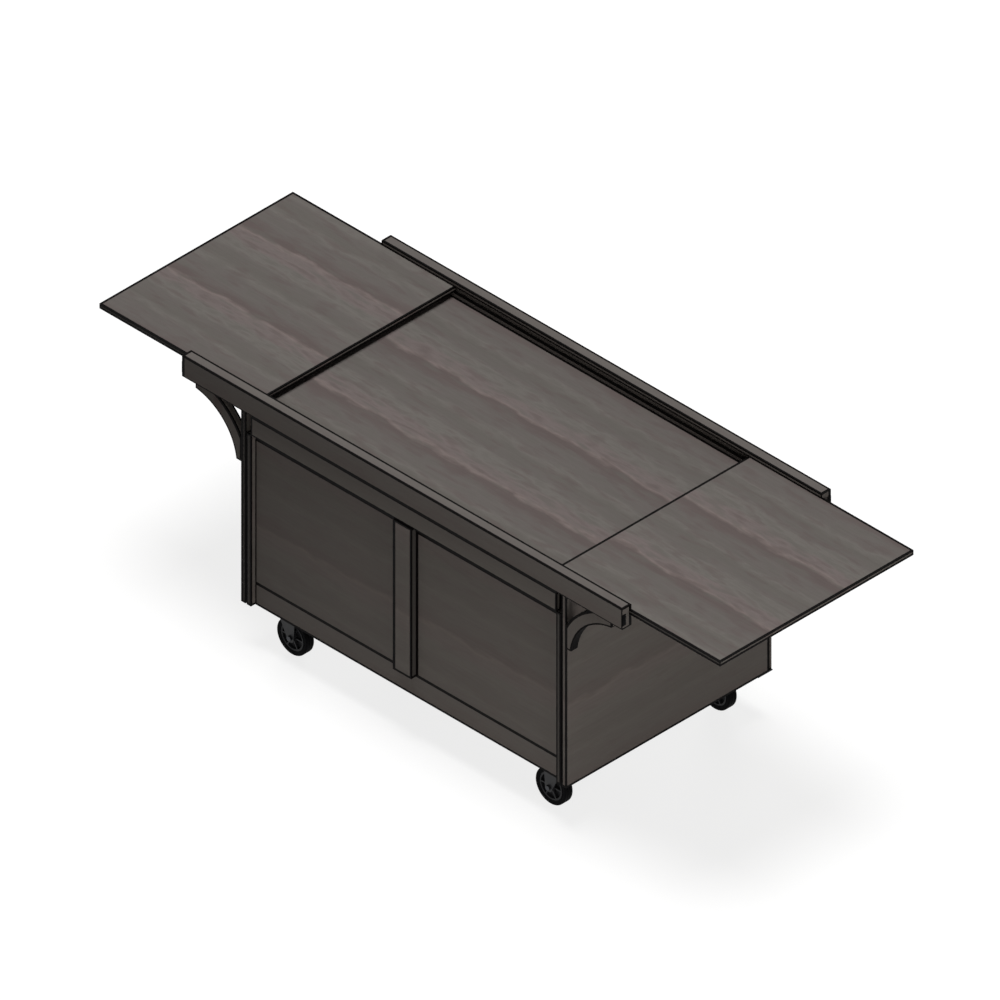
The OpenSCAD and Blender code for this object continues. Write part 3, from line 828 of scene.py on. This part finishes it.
class CART_OT_hardware(Operator):
    """Gives the casters, pivots, units and controls their metal and plastic finishes"""

    bl_idname = "cart.hardware"
    bl_label = "Finish Hardware"

    def execute(self, context):
        look = context.scene.cart_hardware
        forks = [f"{corner}_fork" for corner in CORNERS]
        pedals = [f"back_{side}_pedal" for side in SIDES]
        give(["caster_plates"] + forks + pedals, powder_coat(look))
        axles = [f"{corner}_axle" for corner in CORNERS]
        give(["caster_screws", "shelf_pins", "pivot_brackets"] + axles, zinc_plate(look))
        give([f"{side}_door_bushes" for side in SIDES], sintered_bronze(look))
        give([f"{corner}_core" for corner in CORNERS], filled_nylon(look))
        units = [f"{side}_induction_unit" for side in SIDES]
        give(units + ["control_boxes", "cable_gland"], textured_abs(look))
        give([f"{side}_knob" for side in SIDES], satin_abs(look))
        return {"FINISHED"}


class CART_OT_tyres(Operator):
    """Makes the four tyres, each with a bead on its sidewalls and two grooves round its tread"""

    bl_idname = "cart.tyres"
    bl_label = "Make Tyres"

    def execute(self, context):
        look = context.scene.cart_hardware
        groove = context.scene.cart_fittings.tread_groove / MM
        shoulder = context.scene.cart_fittings.shoulder / MM
        rubber = 15
        bead = ((0, 0), (2, 0), (2.8, 0.8), (5.4, 0.8), (6.4, 0.1))
        for corner in CORNERS:
            low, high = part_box(f"{corner}_tyre")
            centre = (low + high) / 2
            outer = (high.z - low.z) / 2 / MM
            wide = (high.y - low.y) / 2 / MM
            # Half of the outline in millimetres: the sidewall with its bead, the shoulder and a groove
            half = [(outer - rubber + up, wide - deep) for up, deep in bead]
            for degrees in range(0, 91, 18):
                angle = math.radians(degrees)
                up, out = shoulder * math.sin(angle), shoulder * math.cos(angle)
                half.append((outer - shoulder + up, wide - shoulder + out))
            half += [(outer, 5.6), (outer - groove, 5.2), (outer - groove, 4.2), (outer, 3.8)]
            outline = half + [(radius, -along) for radius, along in reversed(half)]
            bm = bmesh.new()
            spin_profile(bm, [(r * MM, a * MM) for r, a in outline], centre, Vector((0, 1, 0)), 96)
            body = f"{corner}_wheel"
            tyre = make_piece(bm, f"{corner}_tread", body, tread_rubber(look), sharp=28)
            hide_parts(f"{corner}_tyre")
        return {"FINISHED"}


class CART_OT_bumpers(Operator):
    """Sticks a rubber bumper on the outer half of each rail end"""

    bl_idname = "cart.bumpers"
    bl_label = "Add Bumpers"

    def execute(self, context):
        look = context.scene.cart_hardware
        thick = context.scene.cart_fittings.bumper
        # Edges of a bumper, in from the rail's outer face and up from its underside
        across, upward = (1 * MM, 15 * MM), (13 * MM, 53 * MM)
        bm = bmesh.new()
        for name, side in (("front_rail", -1), ("back_rail", 1)):
            low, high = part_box(name)
            outer = low.y if side < 0 else high.y
            near, far = sorted(outer - side * reach for reach in across)
            bottom, top = (low.z + rise for rise in upward)
            for start, stop in ((low.x - thick, low.x), (high.x, high.x + thick)):
                add_box(bm, Vector((start, near, bottom)), Vector((stop, far, top)))
        bmesh.ops.bevel(
            bm,
            geom=bm.edges[:],
            offset=thick * 0.4,
            segments=3,
            profile=0.5,
            affect="EDGES",
            material=-1,
        )
        make_piece(bm, "rail_bumpers", "cabinet", tread_rubber(look))
        return {"FINISHED"}


class CART_OT_pedal_treads(Operator):
    """Makes a ribbed rubber tread on each brake pedal"""

    bl_idname = "cart.pedal_treads"
    bl_label = "Make Pedal Treads"

    def execute(self, context):
        look = context.scene.cart_hardware
        ribs = context.scene.cart_fittings.tread_ribs
        # Edges of a tread, in from the end of its pedal, and half its width
        start, stop, half = 3 * MM, 23 * MM, 21 * MM
        top, base, rib, slope = 130 * MM, 0.9 * MM, 1.3 * MM, 0.25 * MM
        for side in SIDES:
            low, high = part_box(f"back_{side}_pedal")
            inward = 1 if side == "right" else -1
            outer_x = low.x if inward > 0 else high.x
            near = outer_x + inward * start
            far = outer_x + inward * stop
            middle = (low.y + high.y) / 2
            bm = bmesh.new()
            add_box(
                bm,
                Vector((min(near, far), middle - half, top)),
                Vector((max(near, far), middle + half, top + base)),
            )
            strips = ribs * 2 + 1
            pitch = (far - near) / strips
            for i in range(1, strips):
                geom = bm.verts[:] + bm.edges[:] + bm.faces[:]
                bmesh.ops.bisect_plane(bm, geom=geom, plane_co=(near + i * pitch, 0, 0), plane_no=(1, 0, 0))
            upper = [face for face in bm.faces if face.normal.z > 0.9]
            upper.sort(key=lambda face: face.calc_center_median().x)
            for face in upper[1::2]:
                bmesh.ops.inset_region(bm, faces=[face], thickness=slope)
                raised = bmesh.ops.extrude_discrete_faces(bm, faces=[face])["faces"][0]
                bmesh.ops.translate(bm, verts=raised.verts, vec=(0, 0, rib))
            body = f"back_{side}_pedal"
            make_piece(bm, f"{body}_tread", body, tread_rubber(look), sharp=20)
        return {"FINISHED"}


class CART_OT_dials(Operator):
    """Prints the marks round each control and the pointer on its knob"""

    bl_idname = "cart.dials"
    bl_label = "Print Dials"

    def execute(self, context):
        look = context.scene.cart_hardware
        fittings = context.scene.cart_fittings
        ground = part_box("back_apron")[1].y - fittings.recess_depth
        ink = 0.2 * MM
        for side in SIDES:
            low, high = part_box(f"{side}_knob")
            centre = (low + high) / 2
            # The mark at the top is off. It is spun through the three quarters of a turn that the
            # knob makes.
            bm = bmesh.new()
            start = Vector((centre.x - 0.5 * MM, ground, centre.z + 22.5 * MM))
            stop = Vector((centre.x + 0.5 * MM, ground + ink, centre.z + 26.5 * MM))
            add_box(bm, start, stop)
            tip = [vert for vert in bm.verts if vert.co.z > centre.z + 25 * MM]
            bmesh.ops.scale(bm, verts=tip, vec=(1.8, 1, 1), space=Matrix.Translation((-centre.x, 0, 0)))
            bmesh.ops.spin(
                bm,
                geom=bm.verts[:] + bm.edges[:] + bm.faces[:],
                cent=centre,
                axis=(0, -1, 0),
                angle=math.radians(270),
                steps=fittings.dial_marks,
                use_duplicate=True,
            )
            make_piece(bm, f"{side}_dial_marks", "cabinet", pad_ink(look))
            # The pointer is a thin inlay at the end of the grip
            bm = bmesh.new()
            add_box(
                bm,
                Vector((centre.x - 0.9 * MM, high.y - 0.4 * MM, centre.z + 8 * MM)),
                Vector((centre.x + 0.9 * MM, high.y + ink, centre.z + 18 * MM)),
            )
            bmesh.ops.bevel(
                bm,
                geom=bm.edges[:],
                offset=0.15 * MM,
                segments=2,
                profile=0.5,
                affect="EDGES",
                material=-1,
            )
            make_piece(bm, f"{side}_knob_pointer", f"{side}_knob", pad_ink(look))
        return {"FINISHED"}


class CART_OT_screws(Operator):
    """Adds the heads of the screws that hold the induction units and the lower door pivots"""

    bl_idname = "cart.screws"
    bl_label = "Add Screw Heads"

    def execute(self, context):
        look = context.scene.cart_hardware
        down = Vector((0, 0, -1))
        # A unit hangs by four screws through the flanges at its ends
        inset, flange = 11 * MM, 65 * MM
        bm = bmesh.new()
        for side in SIDES:
            low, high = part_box(f"{side}_induction_unit")
            middle, reach = (low.y + high.y) / 2, (high.y - low.y) / 6
            for x in (low.x + inset, high.x - inset):
                for y in (middle + reach, middle - reach):
                    add_screw_head(bm, Vector((x, y, low.z + flange)), 4.6 * MM, 2.6 * MM, down)
        make_piece(bm, "unit_screws", "cabinet", zinc_plate(look))
        # Each lower pivot has two, one behind the other
        low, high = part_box("pivot_brackets")
        inset = 9 * MM
        bm = bmesh.new()
        for x in (low.x + inset, high.x - inset):
            for y in (high.y - 51 * MM, high.y - 33 * MM):
                add_screw_head(bm, Vector((x, y, low.z)), 3.6 * MM, 1.8 * MM, down)
        make_piece(bm, "pivot_screws", "cabinet", zinc_plate(look))
        return {"FINISHED"}


class CART_OT_gland_seal(Operator):
    """Adds the rubber seal inside the mouth of the cable gland"""

    bl_idname = "cart.gland_seal"
    bl_label = "Add Gland Seal"

    def execute(self, context):
        look = context.scene.cart_hardware
        low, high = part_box("cable_gland")
        centre = Vector(((low.x + high.x) / 2, (low.y + high.y) / 2, low.z))
        # Radius and height in millimetres, with a rolled lip at the mouth
        outline = [(4.4, 1.6), (4.9, 0.7), (5.6, 0.4), (5.95, 0.6), (5.95, 8.0), (4.9, 8.0), (4.4, 6.4)]
        bm = bmesh.new()
        spin_profile(bm, [(r * MM, a * MM) for r, a in outline], centre, Vector((0, 0, 1)), 48)
        make_piece(bm, "gland_seal", "cabinet", tread_rubber(look))
        return {"FINISHED"}


class CART_OT_stage(Operator):
    """Sets the camera at the isometric view, the lamps, the floor and the white surround"""

    bl_idname = "cart.stage"
    bl_label = "Set Stage"

    def execute(self, context):
        scene = context.scene
        stage = scene.cart_stage
        scene.view_settings.view_transform = "Standard"
        self.set_camera(scene, stage)
        self.set_world(scene, stage)
        self.set_floor(scene)
        key = bpy.data.lights.new("key", "SUN")
        key.energy = stage.key
        key.angle = math.radians(28)
        self.aim_lamp(scene, key, Vector((0, 0, 6)), Vector((0, 0, 0)))
        for name, power, size, place, target in (
            ("end_softbox", stage.end_fill, (2.6, 1.3), Vector((7, -1.0, 1.2)), Vector((0.7, 0, 0.6))),
            ("front_softbox", stage.front_fill, (1.4, 1.2), Vector((2.1, -3.4, 1.1)), Vector((0.5, 0, 0.6))),
            ("low_strip", stage.low_fill, (2.8, 0.12), Vector((0.8, -1.35, 0.1)), Vector((0.8, 0, 0.3))),
            ("back_softbox", stage.back_fill, (2.6, 1.3), Vector((-4, 4.6, 1.2)), Vector((0, 0, 0.6))),
        ):
            lamp = bpy.data.lights.new(name, "AREA")
            lamp.energy = power
            lamp.shape = "RECTANGLE"
            lamp.size, lamp.size_y = size
            # A little warm, against the cool white that the laminate reflects
            lamp.color = (1, 0.985, 0.94)
            self.aim_lamp(scene, lamp, place, target)
        return {"FINISHED"}

    def aim_lamp(self, scene, lamp, place, target):
        holder = bpy.data.objects.new(lamp.name, lamp)
        scene.collection.objects.link(holder)
        holder.location = place
        holder.rotation_euler = (target - place).to_track_quat("-Z", "Y").to_euler()
        holder.visible_camera = False
        holder.visible_glossy = False

    def set_camera(self, scene, stage):
        # True isometric view from the front right, framed on the whole cart
        back = Vector((1, -1, 1)).normalized()
        across = Vector((1, 1, 0)).normalized()
        up = back.cross(across)
        rise, shift, distance = 528.8, 19.0, 9
        middle = up * rise * MM - across * shift * MM
        camera = bpy.data.cameras.new("camera")
        camera.type = "ORTHO"
        camera.ortho_scale = stage.view_width
        camera.clip_end = 60
        holder = bpy.data.objects.new("camera", camera)
        scene.collection.objects.link(holder)
        facing = Matrix((across, up, back)).transposed().to_4x4()
        holder.matrix_world = Matrix.Translation(middle + back * distance) @ facing
        scene.camera = holder

    def seen_rays(self, tree):
        # 1 on what the camera sees, straight or in a reflection or through glass, and 0 on light
        path = add(tree, "ShaderNodeLightPath").outputs
        seen = path["Is Camera Ray"]
        for ray in ("Is Glossy Ray", "Is Transmission Ray"):
            seen = add(tree, "ShaderNodeMath", {0: seen, 1: path[ray]}, operation="MAXIMUM").outputs[0]
        return seen

    def set_world(self, scene, stage):
        # White for the camera and in reflections, and an even grey light on the cart
        world = bpy.data.worlds.new("surround")
        world.use_nodes = True
        world.node_tree.nodes.clear()
        scene.world = world
        tree = world.node_tree
        seen = self.seen_rays(tree)
        strength = add(
            tree,
            "ShaderNodeMath",
            {0: seen, 1: 1 - stage.ambient, 2: stage.ambient},
            operation="MULTIPLY_ADD",
        )
        sky = add(tree, "ShaderNodeBackground", {"Color": srgb("#ffffff"), "Strength": strength.outputs[0]})
        add(tree, "ShaderNodeOutputWorld", {"Surface": sky.outputs[0]})

    def set_floor(self, scene):
        # The floor is white to the camera and keeps the cart's shadow. It throws little light back.
        bm = bmesh.new()
        bmesh.ops.create_grid(bm, x_segments=4, y_segments=4, size=14)
        mesh = bpy.data.meshes.new("floor")
        bm.to_mesh(mesh)
        bm.free()
        floor = bpy.data.objects.new("floor", mesh)
        scene.collection.objects.link(floor)
        material, tree = new_material("studio_floor")
        seen = self.seen_rays(tree)
        dim = add(tree, "ShaderNodeBsdfDiffuse", {"Color": srgb("#474747")})
        pale = add(tree, "ShaderNodeBsdfDiffuse", {"Color": srgb("#868686")})
        glow = add(tree, "ShaderNodeEmission", {"Color": srgb("#ffffff"), "Strength": 0.8})
        white = add(tree, "ShaderNodeAddShader", {0: pale.outputs[0], 1: glow.outputs[0]})
        shader = add(tree, "ShaderNodeMixShader", {0: seen, 1: dim.outputs[0], 2: white.outputs[0]})
        add(tree, "ShaderNodeOutputMaterial", {"Surface": shader.outputs[0]})
        mesh.materials.append(material)


class CART_PT_cart(Panel):
    """Lists the finishes, fittings and stage of the cart"""

    bl_label = "Cooking Cart"
    bl_idname = "CART_PT_cart"
    bl_space_type = "VIEW_3D"
    bl_region_type = "UI"
    bl_category = "Cart"

    def draw(self, context):
        layout = self.layout
        layout.use_property_split = True
        for heading, group, steps in PANEL_ROWS:
            box = layout.box()
            box.label(text=heading)
            settings = getattr(context.scene, group)
            for name in settings.__annotations__:
                box.prop(settings, name)
            for step in steps:
                box.operator(step.bl_idname)


PANEL_ROWS = (
    ("Laminate", "cart_laminate", (CART_OT_boards, CART_OT_blocks, CART_OT_brackets)),
    ("Hardware", "cart_hardware", (CART_OT_hardware,)),
    (
        "Fittings",
        "cart_fittings",
        (
            CART_OT_tyres,
            CART_OT_bumpers,
            CART_OT_pedal_treads,
            CART_OT_dials,
            CART_OT_screws,
            CART_OT_gland_seal,
        ),
    ),
    ("Stage", "cart_stage", (CART_OT_stage,)),
)
GROUPS = {
    "cart_laminate": CartLaminate,
    "cart_hardware": CartHardware,
    "cart_fittings": CartFittings,
    "cart_stage": CartStage,
}
STEPS = [step for _, _, steps in PANEL_ROWS for step in steps]


def register():
    for name, group in GROUPS.items():
        bpy.utils.register_class(group)
        setattr(bpy.types.Scene, name, PointerProperty(type=group))
    for step in STEPS:
        bpy.utils.register_class(step)
    bpy.utils.register_class(CART_PT_cart)


def unregister():
    bpy.utils.unregister_class(CART_PT_cart)
    for step in reversed(STEPS):
        bpy.utils.unregister_class(step)
    for name, group in reversed(GROUPS.items()):
        delattr(bpy.types.Scene, name)
        bpy.utils.unregister_class(group)


def main():
    register()
    bpy.ops.cart.boards()
    bpy.ops.cart.blocks()
    bpy.ops.cart.brackets()
    bpy.ops.cart.hardware()
    bpy.ops.cart.tyres()
    bpy.ops.cart.bumpers()
    bpy.ops.cart.pedal_treads()
    bpy.ops.cart.dials()
    bpy.ops.cart.screws()
    bpy.ops.cart.gland_seal()
    bpy.ops.cart.stage()


if __name__ == "__main__":
    main()
